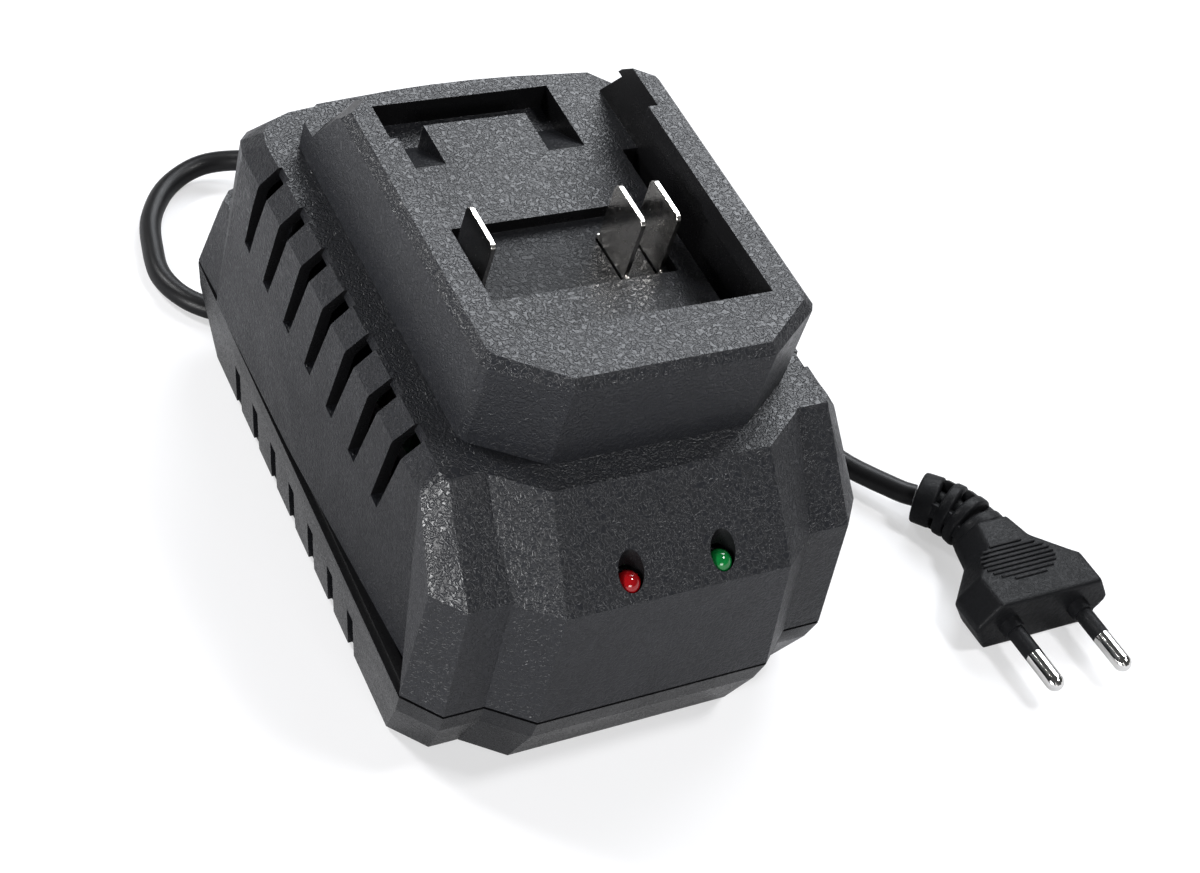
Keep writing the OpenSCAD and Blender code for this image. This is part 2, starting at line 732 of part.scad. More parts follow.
// Coil: in and out again in two layers, laid down clockwise
coil_c = [72, 94];
coil_out = 29;                    // outer middle-line radius
coil_pitch = 5.46;
coil_start = 180;
coil_turns = 3.625;
half_turns = coil_turns / 2;
function coil_r(u) = coil_out - coil_pitch * (half_turns - abs(u - half_turns));
function coil_z(u) = lie + coil_pitch * max(0, min(1, (u - half_turns + 0.25) * 2));
function coil_at(u) = let (a = coil_start - 360 * u)
    [coil_c.x + coil_r(u) * cos(a), coil_c.y + coil_r(u) * sin(a), coil_z(u)];
coil_rings = round(24 * coil_turns);
coil_path = [for (i = [0 : coil_rings]) coil_at(i / 24 * coil_turns * 24 / coil_rings)];
coil_in = coil_path[0] - [0, cord_d, 0];
out_a = coil_start - 360 * coil_turns;
out_dir = [sin(out_a), -cos(out_a), 0];
coil_exit = coil_path[coil_rings] + cord_d * out_dir;
coil_full = concat([coil_in, coil_path[0] - [0, 0.6, 0]], coil_path,
    [coil_path[coil_rings] + 0.6 * out_dir, coil_exit]);

module cord_coil() {
    color(black) tube(coil_full, cord_r, 6);
}

// Least distance between turns of the coil, measured between its points
coil_gap = min([
    for (i = [0 : coil_rings], j = [i + 8 : 1 : coil_rings]) norm(coil_path[i] - coil_path[j])
]) - cord_d;
echo(coil_gap = coil_gap);

// First stretch: out of the gland, round a loop beside the case and under its back
loop_path = smooth([
    gland_end - gland_dir, gland_end, gland_end + 5 * gland_dir,
    [-3, 107, 10.2], [-10, 115, 7], [-20, 118.5, 4.5], [-30, 114, 3],
    [-37.5, 104, lie], [-41, 93, lie], [-42.3, 83, lie], [-39, 74, lie], [-31.5, 68, lie],
    [-20, 66.3, lie], [-6, 66.6, lie], [8, 68, lie], [21, 71, lie], [32, 76, lie], [40, 82.5, lie],
    coil_in, coil_in + [0, 1, 0]
], 2);
loop_ends = concat([gland_end], [for (i = [2 : len(loop_path) - 2]) loop_path[i]]);

module cord_loop() {
    color(black) tube(loop_ends, cord_r, 8);
}

// Second stretch: off the top of the coil, along beside the case to the plug
plug_at = [102, -71];             // middle of the plug's front face, seen from above
plug_body_l = 24;
plug_z = plug_t / 2;
relief_p = [for (p = [[0, 0, 0], [-0.2, 3, 0], [-1.6, 8, 0], [-4.2, 12.6, -0.4], [-7.4, 16.6, -1]])
    [plug_at.x, plug_at.y + plug_body_l, plug_z] + p];
relief_end = relief_p[4];
relief_dir = unit(relief_p[4] - relief_p[3]);
lead_path = smooth([
    coil_exit - out_dir, coil_exit, coil_exit + 5 * out_dir, [85.5, 60, 6], [83.8, 48, 4],
    [83, 34, lie], [82.5, 16, lie], [82.3, 0, lie], [83.5, -11, lie + 0.2],
    relief_end + 9 * relief_dir + [0, 0, -0.4], relief_end + 4 * relief_dir,
    relief_end, relief_end - relief_dir
], 2);
lead_ends = concat([coil_exit], [for (i = [2 : len(lead_path) - 3]) lead_path[i]], [relief_end]);

module cord_lead() {
    color(black) tube(lead_ends, cord_r, 8);
}

echo(loop = path_length(loop_ends), coil = path_length(coil_full), lead = path_length(lead_ends));

// ---------- plug ----------

// The plug as seen from its front: a flat hexagon
module plug_face(w, t) {
    polygon([
        [-w / 2, 0.8], [-w / 2 + 4, t / 2], [w / 2 - 4, t / 2], [w / 2, 0.8],
        [w / 2, -0.8], [w / 2 - 4, -t / 2], [-w / 2 + 4, -t / 2], [-w / 2, -0.8]
    ]);
}

module at_plug() {
    translate([plug_at.x, plug_at.y, plug_z]) children();
}

module plug_slice(y, w, t) {
    translate([0, y, 0]) rotate([90, 0, 0]) linear_extrude(eps) plug_face(w, t);
}

module plug_body() {
    color(black) at_plug() difference() {
        union() {
            hull() {
                plug_slice(eps, plug_w, plug_t);
                plug_slice(9.2, plug_w, plug_t);
            }
            hull() {
                plug_slice(9, plug_w - 0.2, plug_t - 0.1);
                plug_slice(17, 19.6, plug_t - 1);
            }
            hull() {
                plug_slice(16.8, 19.4, plug_t - 1.1);
                plug_slice(plug_body_l, 16, plug_t - 1.6);
            }
        }
        for (s = [-1, 1]) translate([s * pin_pitch / 2, -1, 0]) rotate([-90, 0, 0])
            cylinder(d = pin_d - 1, h = 13, $fn = 48);
    }
}

module plug_strain_relief() {
    color(black) tube(relief_p, [6, 5.9, 5.7, 5.5, 5.2], 16);
}

sleeve_l = 9.5;
pin_groove = 0.4;

module pin_places() {
    at_plug() for (s = [-1, 1]) translate([s * pin_pitch / 2, 0, 0]) rotate([90, 0, 0]) children();
}

module plug_pins() {
    color([0.8, 0.8, 0.82]) pin_places() rotate_extrude($fn = 48) polygon(concat(
        [[0, -12], [pin_d / 2 - 0.5, -12], [pin_d / 2 - 0.5, -0.2], [pin_d / 2 - pin_groove, -0.2],
        [pin_d / 2 - pin_groove, sleeve_l], [pin_d / 2, sleeve_l]],
        [for (a = [0 : 15 : 90]) [pin_d / 2 * cos(a), pin_l - pin_d / 2 + pin_d / 2 * sin(a)]]
    ));
}

module pin_sleeves() {
    color(black) pin_places() difference() {
        union() {
            cylinder(d = pin_d, h = sleeve_l, $fn = 48);
            cylinder(d = pin_d + 1, h = 2.6, $fn = 48);
        }
        translate([0, 0, -1]) cylinder(d = pin_d - 2 * pin_groove, h = sleeve_l + 2, $fn = 48);
    }
}

base_shell();
top_cover();
battery_dock();
terminal_block();
blade_negative();
blade_signal();
blade_positive();
red_light();
green_light();
light_board();
circuit_board();
transformer_core();
transformer_winding();
input_capacitor();
output_capacitors();
mains_choke();
noise_capacitor();
heat_sink();
power_transistor();
mains_fuse();
board_screws();
case_screws();
dock_screws();
rubber_feet();
cord_gland();
cord_loop();
cord_coil();
cord_lead();
plug_body();
plug_strain_relief();
pin_sleeves();
plug_pins();
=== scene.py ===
# %% [markdown]
# # A slide-in battery charger
# This notebook dresses a charger whose solids come from CAD. The solids arrive as a fixed
# frame: the base, the cover, the battery dock, three terminal blades, two status lights,
# the electronics, and a mains cord with its plug. Here they get their rounded edges, their
# surface detail and their materials, and then a camera, a floor and soft lamps. Shapes are
# written in millimetres, and `MM` turns them into Blender's metres.

# %% Load the frame
import bmesh
import bpy
import json
import math
from mathutils import Matrix, Vector

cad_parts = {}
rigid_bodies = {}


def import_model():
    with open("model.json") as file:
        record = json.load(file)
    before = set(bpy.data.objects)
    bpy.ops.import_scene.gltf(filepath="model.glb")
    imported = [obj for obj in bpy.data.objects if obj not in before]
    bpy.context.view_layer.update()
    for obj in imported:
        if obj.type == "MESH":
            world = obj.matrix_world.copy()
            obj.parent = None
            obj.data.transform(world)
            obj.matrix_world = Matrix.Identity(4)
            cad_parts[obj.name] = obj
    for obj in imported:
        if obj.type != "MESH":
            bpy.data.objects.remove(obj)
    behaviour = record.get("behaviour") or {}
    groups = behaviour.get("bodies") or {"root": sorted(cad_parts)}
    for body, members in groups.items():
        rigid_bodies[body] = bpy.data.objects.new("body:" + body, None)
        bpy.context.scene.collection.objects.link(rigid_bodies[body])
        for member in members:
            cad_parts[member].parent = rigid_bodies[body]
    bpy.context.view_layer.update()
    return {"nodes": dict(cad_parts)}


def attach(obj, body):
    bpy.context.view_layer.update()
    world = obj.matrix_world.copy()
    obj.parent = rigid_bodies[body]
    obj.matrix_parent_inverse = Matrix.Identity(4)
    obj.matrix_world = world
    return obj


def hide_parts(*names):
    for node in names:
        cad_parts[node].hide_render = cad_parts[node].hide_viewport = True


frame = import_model()
nodes = frame["nodes"]
MM = 0.001

# %% [markdown]
# ## Camera
# The camera stands to the left of the charger and well above it, and it is rolled, so the
# upright edges lean to the right. A Track To constraint could aim it, but it would keep
# the horizon level. So its place and three angles are written down, and the directions
# of its own axes follow from them. They are easier to correct than a matrix of numbers.

# %% Camera
CAMERA_AT = Vector((-0.2044, -0.2957, 0.3432))
AZIMUTH, ELEVATION, ROLL = (math.radians(a) for a in (-38.07, 41.37, 15.96))
LENS, SENSOR = 69, 36
NEAREST, FARTHEST = 0.02, 20

back = Vector((
    math.sin(AZIMUTH) * math.cos(ELEVATION),
    -math.cos(AZIMUTH) * math.cos(ELEVATION),
    math.sin(ELEVATION),
))
level_right = (-back).cross(Vector((0, 0, 1))).normalized()
level_up = level_right.cross(-back)
right = math.cos(ROLL) * level_right + math.sin(ROLL) * level_up
up = back.cross(right)
camera_data = bpy.data.cameras.new("camera")
camera_data.lens, camera_data.sensor_width = LENS, SENSOR
camera_data.clip_start, camera_data.clip_end = NEAREST, FARTHEST
camera = bpy.data.objects.new("camera", camera_data)
camera.matrix_world = Matrix((
    (right.x, up.x, back.x, CAMERA_AT.x),
    (right.y, up.y, back.y, CAMERA_AT.y),
    (right.z, up.z, back.z, CAMERA_AT.z),
    (0, 0, 0, 1),
))
bpy.context.collection.objects.link(camera)
bpy.context.scene.camera = camera
print("camera looks along", [round(-v, 3) for v in back])

# %% [markdown]
# ## Sizes shared with the solids
# The charger's deck leans down towards the front, so the dock is square to the deck and
# not to the floor. `on_deck` turns a point of the dock's own grid, in millimetres, into a
# point of the frame, in metres. The cover and the base meet in a level joint.

# %% The deck's grid
TILT = math.radians(5)
DECK_Z = 67.6
JOINT_Z, BACK_Y = 19, 73
deck_matrix = (
    Matrix.Translation((0, 0, DECK_Z * MM)) @ Matrix.Rotation(TILT, 4, "X") @ Matrix.Scale(MM, 4)
)


def on_deck(x, y, n):
    return deck_matrix @ Vector((x, y, n))


print("middle of the deck:", [round(v, 4) for v in on_deck(0, 0, 0)])

# %% [markdown]
# ## Nodes
# A material is a small tree of nodes. The same few steps come back in every one of them: a
# noise that reads Object coordinates, so that it has its real size and stays on the piece,
# and a colour ramp that turns the noise into a colour, a roughness or a height.


# %% Node helpers
def new_material(name):
    material = bpy.data.materials.new(name)
    material.use_nodes = True
    shader = material.node_tree.nodes["Principled BSDF"]
    return material, material.node_tree, shader


def link(tree, a, out, b, into):
    tree.links.new(a.outputs[out], b.inputs[into])


def noise(tree, scale, detail=2.0, rough=0.5, twist=0.0):
    place = tree.nodes.new("ShaderNodeTexCoord")
    node = tree.nodes.new("ShaderNodeTexNoise")
    node.inputs["Scale"].default_value = scale
    node.inputs["Detail"].default_value = detail
    node.inputs["Roughness"].default_value = rough
    node.inputs["Distortion"].default_value = twist
    link(tree, place, "Object", node, "Vector")
    return node


def ramp(tree, source, out, stops):
    node = tree.nodes.new("ShaderNodeValToRGB")
    elements = node.color_ramp.elements
    while len(elements) < len(stops):
        elements.new(0.5)
    for element, (at, colour) in zip(elements, stops):
        element.position = at
        element.color = (*colour, 1)
    link(tree, source, out, node, "Fac")
    return node


def grey(v):
    return (v, v, v)


print("node helpers ready, materials so far:", len(bpy.data.materials))

# %% [markdown]
# ## Moulded plastic
# The case is moulded in a charcoal plastic. Its tool is etched with a fine leather grain:
# short worms with narrow valleys between them, which catch the light. The grain could be
# displaced geometry, but at a few hundredths of a millimetre that would take millions of
# faces, so it is a bump. The valleys are the places where a noise passes through its middle
# value, and a second, larger noise varies the colour and the gloss, as real mouldings do.

# %% Moulded plastic
WORM_PROFILE = [(0.30, 1), (0.41, 0.7), (0.5, 0), (0.59, 0.7), (0.70, 1)]
PATCH_SCALE, PATCH_SHARE = 120, 0.35
PATCH_FROM, PATCH_TO = 0.38, 0.62
DULLER, GLOSSIER = 0.1, 0.04


def moulded(name, colour, rough, grain, depth, strength, mottle, shine=0.4):
    """A plastic with an etched grain: short worms between narrow valleys, depth in metres."""
    material, tree, shader = new_material(name)
    shader.inputs["Specular IOR Level"].default_value = shine
    worm = noise(tree, grain, detail=1, twist=0.6)
    rise = ramp(tree, worm, "Fac", [(at, grey(height)) for at, height in WORM_PROFILE])
    broad = noise(tree, PATCH_SCALE, detail=3)
    mix = tree.nodes.new("ShaderNodeMix")
    mix.inputs["Factor"].default_value = PATCH_SHARE
    link(tree, worm, "Fac", mix, "A")
    link(tree, broad, "Fac", mix, "B")
    low, high = [c * (1 - mottle) for c in colour], [c * (1 + mottle) for c in colour]
    tint = ramp(tree, mix, "Result", [(PATCH_FROM, low), (PATCH_TO, high)])
    link(tree, tint, "Color", shader, "Base Color")
    dull, bright = grey(rough + DULLER), grey(rough - GLOSSIER)
    gloss = ramp(tree, mix, "Result", [(PATCH_FROM, dull), (PATCH_TO, bright)])
    link(tree, gloss, "Color", shader, "Roughness")
    bump = tree.nodes.new("ShaderNodeBump")
    bump.inputs["Strength"].default_value = strength
    bump.inputs["Distance"].default_value = depth
    link(tree, rise, "Color", bump, "Height")
    link(tree, bump, "Normal", shader, "Normal")
    return material


# %% [markdown]
# ## The plastics of this charger
# One recipe gives them all, because the real ones differ only in how deep the tool is
# etched and how much they shine; some also carry painted shade in their colour. The deck
# and the dock have the full grain. The steep side walls shine less and are a little darker,
# which is painted shade, and the base is nearly smooth. Inside the vents, the dock and the
# holes of the lights the plastic is smooth, and its darker colour there is painted shade;
# the coil tie uses the same dark plastic as its own colour. The floor of the terminal well
# has a finer grain, and its darker colour is painted shade. The plug and the cord are a
# softer, duller plastic, and the feet are rubber.

# %% Plastics
case_plastic = moulded(
    "case plastic", (0.0095, 0.0101, 0.0122), rough=0.33,
    grain=1080, depth=0.00010, strength=0.85, mottle=0.15, shine=0.32)
base_plastic = moulded(
    "base plastic", (0.0075, 0.0079, 0.0092), rough=0.24,
    grain=1600, depth=0.00002, strength=0.4, mottle=0.15, shine=0.20)
# Painted shade: the side walls' copy is darker and duller than the case plastic.
wall_shade_plastic = moulded(
    "wall plastic with painted shade", (0.0085, 0.0090, 0.0108), rough=0.33,
    grain=1080, depth=0.00016, strength=0.9, mottle=0.15, shine=0.18)
# Painted shade: the well floor's copy has a finer grain, and its darker, duller colour is painted
# shade.
well_shade_plastic = moulded(
    "well plastic with painted shade", (0.0080, 0.0085, 0.0100), rough=0.36,
    grain=1080, depth=0.00007, strength=0.8, mottle=0.15, shine=0.12)
# Painted shade: this darker plastic stands in for the shade in the vents, the seam, the dock's
# openings and the holes of the lights. The coil tie uses it as its own colour.
shade_and_strap_plastic = moulded(
    "painted shade and strap plastic", (0.0050, 0.0050, 0.0055), rough=0.30,
    grain=2400, depth=0.00002, strength=0.3, mottle=0.15, shine=0.15)
plug_plastic = moulded(
    "plug plastic", (0.0055, 0.0057, 0.0064), rough=0.40,
    grain=1500, depth=0.00004, strength=0.5, mottle=0.2, shine=0.08)
cord_jacket = moulded(
    "cord jacket", (0.0060, 0.0060, 0.0065), rough=0.36,
    grain=3000, depth=0.00002, strength=0.3, mottle=0.15, shine=0.17)
foot_rubber = moulded(
    "foot rubber", (0.0110, 0.0110, 0.0110), rough=0.75,
    grain=2600, depth=0.00004, strength=0.3, mottle=0.15, shine=0.3)
print("plastics:", [m.name for m in bpy.data.materials if m.use_nodes])

# %% [markdown]
# ## Metals and small parts
# The blades are nickel-plated strip and the pins are polished. A metal's colour is nearly
# even, so its life comes from the roughness: a fine noise changes it a little, as handling
# and plating do. The parts inside are plain plastics, tapes and laminates, and the plastic
# recipe serves them too, with a shallow grain and a clear coat where they are varnished.


# %% Metals and small parts
def metal(name, colour, rough, scratch):
    material, tree, shader = new_material(name)
    shader.inputs["Metallic"].default_value = 1
    fine = noise(tree, 700, detail=4, rough=0.6)
    tint = ramp(tree, fine, "Fac", [(0.3, [c * 0.92 for c in colour]), (0.7, colour)])
    link(tree, tint, "Color", shader, "Base Color")
    gloss = ramp(tree, fine, "Fac", [(0.3, grey(rough)), (0.7, grey(rough + scratch))])
    link(tree, gloss, "Color", shader, "Roughness")
    return material


def small_part(name, colour, rough, coat=0.0):
    material = moulded(name, colour, rough, grain=900, depth=0.00004, strength=0.3, mottle=0.08)
    material.node_tree.nodes["Principled BSDF"].inputs["Coat Weight"].default_value = coat
    return material


nickel = metal("nickel plate", (0.72, 0.70, 0.67), 0.16, 0.12)
pin_metal = metal("polished pin", (0.85, 0.84, 0.82), 0.06, 0.05)
screw_steel = metal("zinc screw", (0.6, 0.6, 0.62), 0.3, 0.1)
sink_metal = metal("heat sink", (0.62, 0.62, 0.64), 0.35, 0.1)
copper = metal("enamelled wire", (0.7, 0.32, 0.12), 0.3, 0.05)
board_green = small_part("board laminate", (0.02, 0.12, 0.04), 0.35, coat=0.3)
ferrite = small_part("ferrite", (0.03, 0.03, 0.03), 0.5)
tape = small_part("winding tape", (0.6, 0.42, 0.04), 0.3)
sleeve = small_part("capacitor sleeve", (0.01, 0.012, 0.03), 0.25, coat=0.4)
film_case = small_part("film case", (0.55, 0.38, 0.04), 0.3)
epoxy = small_part("moulded epoxy", (0.02, 0.02, 0.02), 0.5)
fuse_case = small_part("fuse case", (0.4, 0.36, 0.28), 0.4)
print("materials:", len(bpy.data.materials))

# %% [markdown]
# ## Lenses
# The status lights are off in this scene. Their lenses are cloudy, deeply coloured plastic
# with a polished dome. A see-through lens would need a chip behind it and shows little at
# this size, so the colour is a surface colour under a thin clear coat.


# %% Lenses
def lens(name, colour):
    material, tree, shader = new_material(name)
    cloud = noise(tree, 600)
    tint = ramp(tree, cloud, "Fac", [(0.3, [c * 0.7 for c in colour]), (0.7, colour)])
    link(tree, tint, "Color", shader, "Base Color")
    shader.inputs["Roughness"].default_value = 0.07
    shader.inputs["Coat Weight"].default_value = 0.2
    shader.inputs["IOR"].default_value = 1.5
    return material


red_lens = lens("red lens", (0.24, 0.002, 0.004))
green_lens = lens("green lens", (0.002, 0.13, 0.025))
print("lenses:", red_lens.name, green_lens.name)

# %% [markdown]
# ## The cord's route
# The mains cord is one piece: out of the gland at the back, round a loop beside the case,
# on the floor under the case's back edge, through a neat coil that the charger hides, and
# along the right side to the plug. Its line could be drawn with Bezier handles, but a
# smooth curve through a few listed points is easier to lay on the floor and to keep at
# its length. The coil is a spiral that runs in on one layer and out again on the next.

# %% Smooth line and coil
CORD_D = 5.0
LIE = CORD_D / 2 + 0.05
COIL_MIDDLE = (72, 94)
COIL_OUT, COIL_PITCH, COIL_TURNS = 28.65, 5.46, 3.625
STEPS_PER_TURN = 36
STEPS_PER_STRETCH = 6


def smooth_line(points, count):
    """Points on a Catmull-Rom curve, which passes through all but the first and the last."""
    out = []
    for i in range(1, len(points) - 2):
        a, b, c, d = (Vector(points[i + k]) for k in (-1, 0, 1, 2))
        for k in range(count):
            u = k / count
            square = (2 * a - 5 * b + 4 * c - d) * u * u
            cube = (3 * b - a - 3 * c + d) * u ** 3
            out.append(0.5 * (2 * b + (c - a) * u + square + cube))
    out.append(Vector(points[-2]))
    return out


def coil_point(u):
    """The place after u turns: inwards to the middle of the coil, then up and outwards."""
    half = COIL_TURNS / 2
    radius = COIL_OUT - COIL_PITCH * (half - abs(u - half))
    height = LIE + COIL_PITCH * max(0.0, min(1.0, (u - half + 0.25) * 2))
    angle = math.pi - 2 * math.pi * u
    x = COIL_MIDDLE[0] + radius * math.cos(angle)
    y = COIL_MIDDLE[1] + radius * math.sin(angle)
    return Vector((x, y, height))


coil_steps = int(COIL_TURNS * STEPS_PER_TURN)
coil = [coil_point(k / STEPS_PER_TURN) for k in range(coil_steps + 1)]
out_angle = math.pi - 2 * math.pi * COIL_TURNS
out_way = Vector((math.sin(out_angle), -math.cos(out_angle), 0))
print("coil:", len(coil), "points, leaves along", [round(v, 2) for v in out_way])

# %% Loop, lead and the whole route
GLAND_OUT, GLAND_DROP, GLAND_SLOPE = 21, 5.9, 0.5
PLUG = Vector((102, -71, 6.85))
PLUG_BODY = 24

coil_in = coil[0] - Vector((0, CORD_D, 0))
coil_exit = coil_point(COIL_TURNS) + CORD_D * out_way
gland_end = Vector((0, BACK_Y + GLAND_OUT, JOINT_Z - GLAND_DROP))
gland_way = Vector((0, 1, -GLAND_SLOPE)).normalized()
loop = smooth_line([
    gland_end - gland_way, gland_end, gland_end + 5 * gland_way,
    (-3, 107, 10.2), (-10, 115, 7), (-20, 118.5, 4.5), (-30, 114, 3),
    (-37.5, 104, LIE), (-41, 93, LIE), (-42.3, 83, LIE), (-39, 74, LIE), (-31.5, 68, LIE),
    (-20, 66.3, LIE), (-6, 66.6, LIE), (8, 68, LIE), (21, 71, LIE), (32, 76, LIE),
    (40, 82.5, LIE), coil_in, coil_in + Vector((0, 1, 0)),
], STEPS_PER_STRETCH)
relief_line = [PLUG + Vector(v) for v in (
    (0, PLUG_BODY, 0), (-0.2, PLUG_BODY + 3, 0), (-1.6, PLUG_BODY + 8, 0),
    (-4.2, PLUG_BODY + 12.6, -0.4), (-7.4, PLUG_BODY + 16.6, -1),
)]
relief_end = relief_line[-1]
relief_way = (relief_line[-1] - relief_line[-2]).normalized()
lead = smooth_line([
    coil_exit - out_way, coil_exit, coil_exit + 5 * out_way,
    (85.5, 60, 6), (83.8, 48, 4), (83, 34, LIE), (82.5, 16, LIE), (82.4, 0, LIE + 0.5),
    (84.6, -14, LIE + 1.4), relief_end + 5 * relief_way, relief_end, relief_end - relief_way,
], STEPS_PER_STRETCH)
route = [p * MM for p in loop + coil + lead]

# %% [markdown]
# ## The cord itself
# A curve with a round bevel is the plainest way to a cord: its line is the cord's middle,
# its bevel depth is half the thickness, and its measured length is the real one. A tube of
# faces along the line would look the same and be harder to correct.

# %% Cord
cord_curve = bpy.data.curves.new("mains_cord", "CURVE")
cord_curve.dimensions = "3D"
cord_curve.bevel_depth = CORD_D / 2 * MM
cord_curve.bevel_resolution = 5
cord_curve.use_fill_caps = True
spline = cord_curve.splines.new("POLY")
spline.points.add(len(route) - 1)
for point, place in zip(spline.points, route):
    point.co = (*place, 1)
mains_cord = bpy.data.objects.new("mains_cord", cord_curve)
bpy.context.collection.objects.link(mains_cord)
cord_curve.materials.append(cord_jacket)
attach(mains_cord, "root")
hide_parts("cord_loop", "cord_coil", "cord_lead")
print("cord drawn,", CORD_D, "mm thick")

# %% [markdown]
# ## Rounded copies of the solids
# A moulding has no sharp edges: each one has a small radius that draws a thin bright line.
# The CAD meshes are loose triangles with sharp edges, so a copy of each is merged into one
# skin, its flat faces are joined, and its edges are bevelled. The bevel could be cut into
# the mesh, but as a modifier its width stays easy to change. The copy then stands for the
# solid, which stays below it for its weight and its contacts.


# %% Copy and bevel helpers
def show(name, mesh, material, slot, *replaced):
    """Puts a mesh in the scene as a piece of the charger."""
    piece = bpy.data.objects.new(name, mesh)
    bpy.context.collection.objects.link(piece)
    mesh.materials.clear()
    mesh.materials.append(material)
    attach(piece, "root")
    if replaced:
        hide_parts(*replaced)
    return piece


def merged_copy(node, flat_angle=1.0):
    """One skin from a solid's loose triangles, with its flat faces joined."""
    bm = bmesh.new()
    bm.from_mesh(nodes[node].data)
    bmesh.ops.remove_doubles(bm, verts=bm.verts, dist=0.00001)
    bmesh.ops.dissolve_limit(
        bm, angle_limit=math.radians(flat_angle), verts=bm.verts, edges=bm.edges)
    mesh = bpy.data.meshes.new(node + "_dressed")
    bm.to_mesh(mesh)
    bm.free()
    return mesh


def smooth_faces(mesh, crisp):
    """Smooth shading, but not across edges that turn more than crisp degrees."""
    for face in mesh.polygons:
        face.use_smooth = True
    mesh.set_sharp_from_angle(angle=math.radians(crisp))


def rounded(node, name, material, slot, width, segments=2):
    """A copy of a node with its sharp edges rounded, width in millimetres."""
    piece = show(name, merged_copy(node), material, slot, node)
    smooth_faces(piece.data, crisp=8)
    bevel = piece.modifiers.new("edge radius", "BEVEL")
    bevel.width = width * MM
    bevel.segments = segments
    bevel.limit_method = "ANGLE"
    bevel.angle_limit = math.radians(24)
    bevel.use_clamp_overlap = True
    bevel.harden_normals = True
    print(name, "has", len(piece.data.polygons), "faces before its bevel")
    return piece


# %% [markdown]
# ## Finishes on one skin
# The real tool is etched on the outside only. The faces inside the vents, in the seam, in
# the dock's openings and round the lights are smooth, and their darker colour is painted
# shade. The side walls shine less and are a little darker, which is painted shade too, and
# the floor of the terminal well is finer and darker, its darker colour also painted shade.
# They could be cut off as pieces of their own, but one skin with several materials keeps
# its rounded edges whole. So each group is picked with a small test on the middle of a
# face, in millimetres, and on the way that it faces.

# %% Tests for a face
LIGHT_LINE, LIGHT_PITCH, LIGHT_HOLE = -67.2, 19.8, 2.7
VENT_FRONT, VENT_BACK, VENT_INNER = -46, 56, 24
WALL_FRONT, WALL_BACK, WALL_INNER = -50, 66, 30
POCKET_FRONT, POCKET_BACK = -36, 40
WELL_FLOOR = 3.7


def refinish(piece, material, chosen):
    """Gives another finish to the faces for which chosen(middle, normal) is true."""
    piece.data.materials.append(material)
    count = 0
    for face in piece.data.polygons:
        if chosen(face.center / MM, face.normal):
            face.material_index = len(piece.data.materials) - 1
            count += 1
    print(piece.name, "has", count, "faces in", material.name)


def in_seam(p, n):
    return abs(p.z - JOINT_Z + 0.3) < 0.45 and p.y < BACK_Y


def in_cover_opening(p, n):
    in_vents = VENT_FRONT < p.y < VENT_BACK and abs(p.x) > VENT_INNER and p.z > JOINT_Z + 3
    holes = [Vector((side * LIGHT_PITCH / 2, LIGHT_LINE)) for side in (-1, 1)]
    in_hole = min((p.xy - hole).length for hole in holes) < LIGHT_HOLE + 0.1
    return (in_vents and abs(n.y) > 0.6) or (in_hole and abs(n.z) < 0.5) or in_seam(p, n)


def in_side_wall(p, n):
    upright = abs(n.x) > 0.6 and abs(n.z) < 0.75
    return upright and abs(p.x) > WALL_INNER and WALL_FRONT < p.y < WALL_BACK and p.z > JOINT_Z + 1


def in_dock_opening(p, n):
    faces_in = p.x * n.x < -0.3 * abs(p.x)
    faces_front = n.y < -0.5 and p.y > POCKET_FRONT
    faces_back = n.y > 0.5 and p.y < POCKET_BACK
    return faces_in or faces_front or faces_back


def in_well(p, n):
    height = (p.z - DECK_Z) * math.cos(TILT) - p.y * math.sin(TILT)
    return n.z > 0.9 and abs(height - WELL_FLOOR) < 0.2


# %% [markdown]
# ## Case, dock and blades
# The case is two mouldings that meet in a thin dark line, and the dock stands on the upper
# one. Their edges have a radius of a third of a millimetre, and the base, whose corners are
# handled most, has a rounder one. The blades are stamped from strip, so their edges are
# only just broken.

# %% Case, dock and blades
cover = rounded("top_cover", "cover_moulding", case_plastic, "case_plastic", 0.35)
# Painted shade on the side walls.
refinish(cover, wall_shade_plastic, in_side_wall)
# Painted shade in the vents, the seam and the holes of the lights.
refinish(cover, shade_and_strap_plastic, in_cover_opening)
base = rounded("base_shell", "base_moulding", base_plastic, "case_plastic", 0.6, 3)
# Painted shade in the base's side of the seam.
refinish(base, shade_and_strap_plastic, in_seam)
dock = rounded("battery_dock", "dock_moulding", case_plastic, "dock_plastic", 0.35)
# Painted shade on the inner faces of the dock's openings.
refinish(dock, shade_and_strap_plastic, in_dock_opening)
# Painted shade on the floor of the well.
refinish(dock, well_shade_plastic, in_well)
for blade in ("blade_negative", "blade_signal", "blade_positive"):
    rounded(blade, blade + "_plate", nickel, "nickel", 0.12)

# %% [markdown]
# ## Plug body
# The plug is moulded over its pins in a soft plastic, and its slopes run into each other
# with no clear edge. A bevel can't round edges that are nearly flat, so the copy gets an
# even skin of small faces from a voxel remesh, and a smooth modifier rounds that skin.

# %% Plug body
plug_moulding = show(
    "plug_moulding", merged_copy("plug_body"), plug_plastic, "plug_plastic", "plug_body")
skin = plug_moulding.modifiers.new("soft skin", "REMESH")
skin.mode, skin.voxel_size, skin.use_smooth_shade = "VOXEL", 0.4 * MM, True
rounding = plug_moulding.modifiers.new("rounded edges", "SMOOTH")
rounding.factor, rounding.iterations = 0.5, 14
print("plug body:", round(skin.voxel_size / MM, 2), "mm voxels")

# %% [markdown]
# ## Small shapes
# The pieces that follow are made of blocks and short cylinders with rounded edges. Each
# helper gives back a small function that adds its shape to a bmesh, so that one piece can
# be listed as a row of shapes and built in one go.


